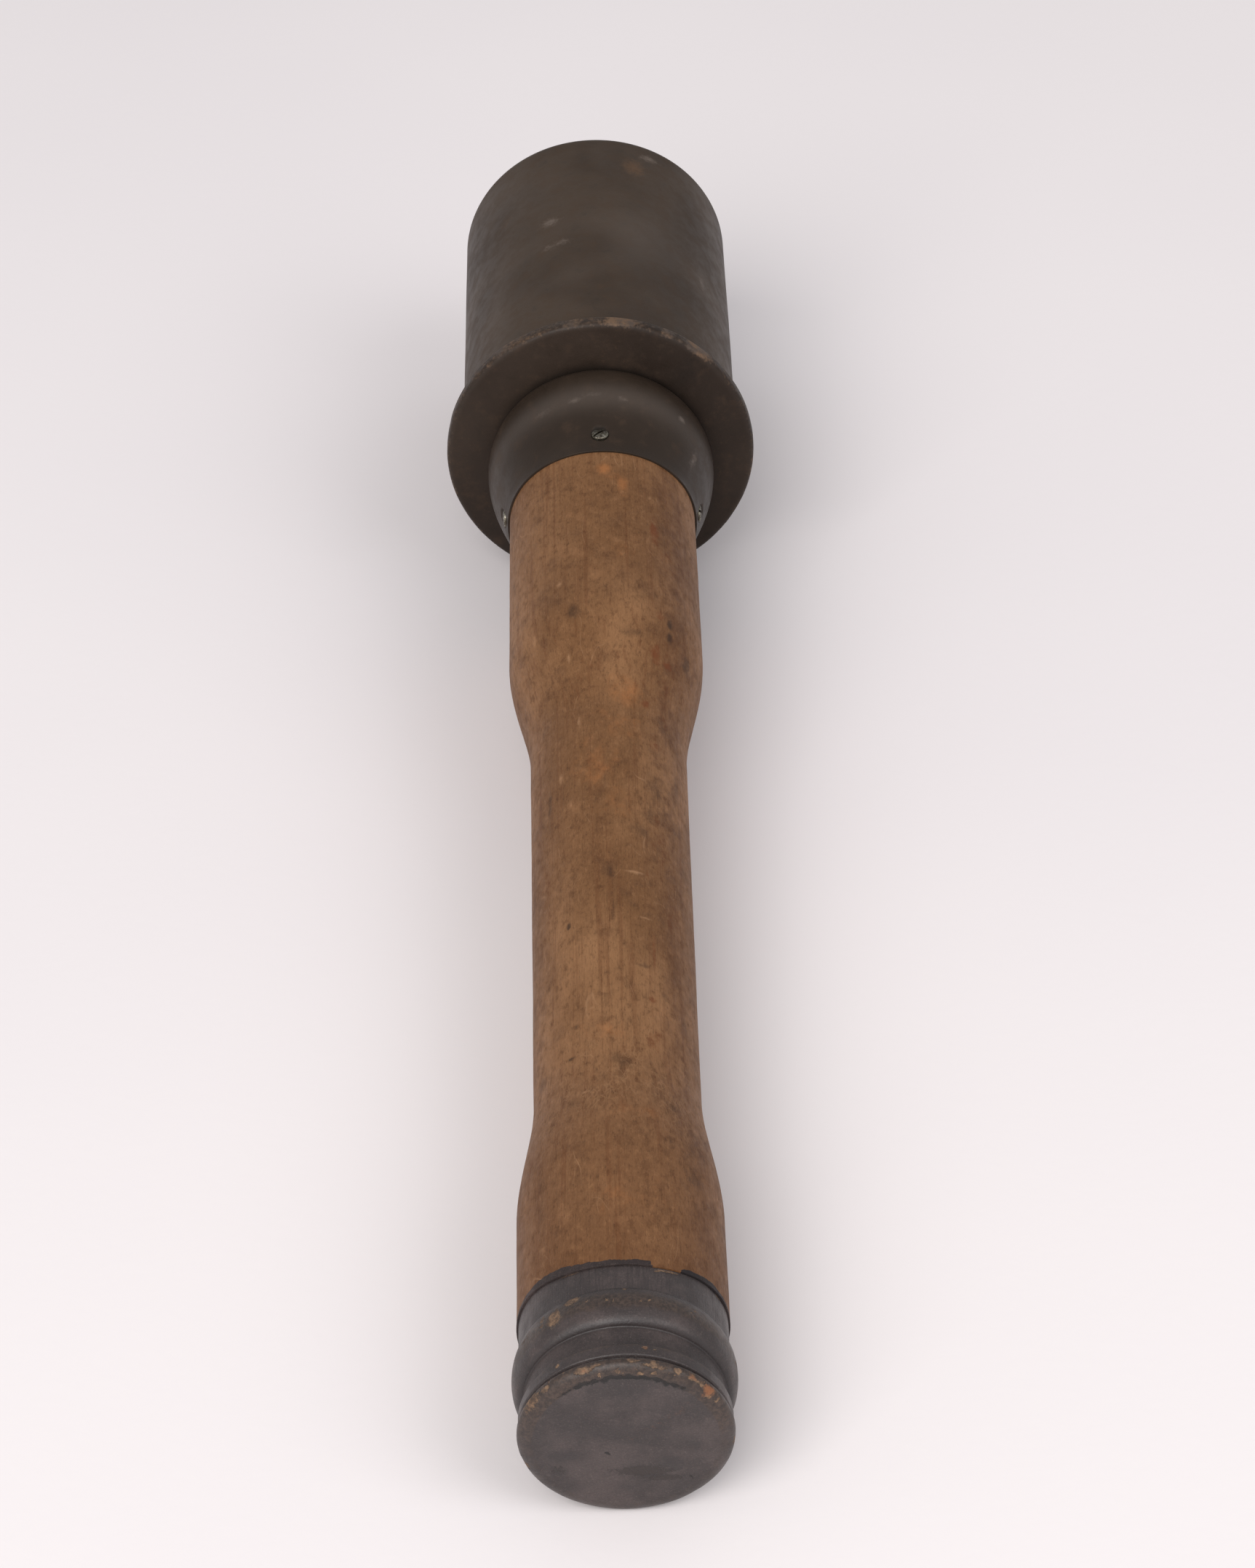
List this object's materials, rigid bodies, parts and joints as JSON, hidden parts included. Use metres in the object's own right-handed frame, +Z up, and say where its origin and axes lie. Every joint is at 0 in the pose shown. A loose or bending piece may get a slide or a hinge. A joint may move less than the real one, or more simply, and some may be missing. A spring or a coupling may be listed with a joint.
{
  "type": "inert stick grenade display replica",
  "caption": "Inert solid display replica of a stick grenade's exterior: painted cylindrical head with flange and screwed collar, turned wooden handle and beaded foot cap.",
  "frame": {"origin": "on the surface that the piece lies on, under the middle of its bounding box", "axes": "+Y runs from the foot cap to the head, +Z is up; the long axis rises 2.93 degrees from +Y towards the head, because the piece lies on its flange and on the bead of its foot cap"},
  "size_m": [0.0656, 0.3812, 0.0663],
  "materials": {
    "head_paint": "satin olive-brown paint over a solid block, faintly scuffed",
    "fitting_paint": "satin dark olive-brown paint, worn to tan along the flange's edge",
    "handle_wood": "bare beech-like wood, fine lengthwise grain, hand-darkened and mottled",
    "foot_paint": "satin grey paint over turned wood, chipped to tan round its rim",
    "screw_metal": "dull worn steel with traces of paint"
  },
  "bodies": {
    "main_body": {"head_block": "head_paint", "base_flange": "fitting_paint", "neck_collar": "fitting_paint", "handle": "handle_wood", "collar_screw_1": "screw_metal", "collar_screw_2": "screw_metal", "collar_screw_3": "screw_metal", "collar_screw_4": "screw_metal"},
    "foot": {"foot_cap": "foot_paint"}
  },
  "joints": [
    {"name": "foot_cap_pull", "type": "slide", "parent": "main_body", "child": "foot", "axis": [0, -0.9987, -0.051], "range_m": [0, 0.012]}
  ]
}
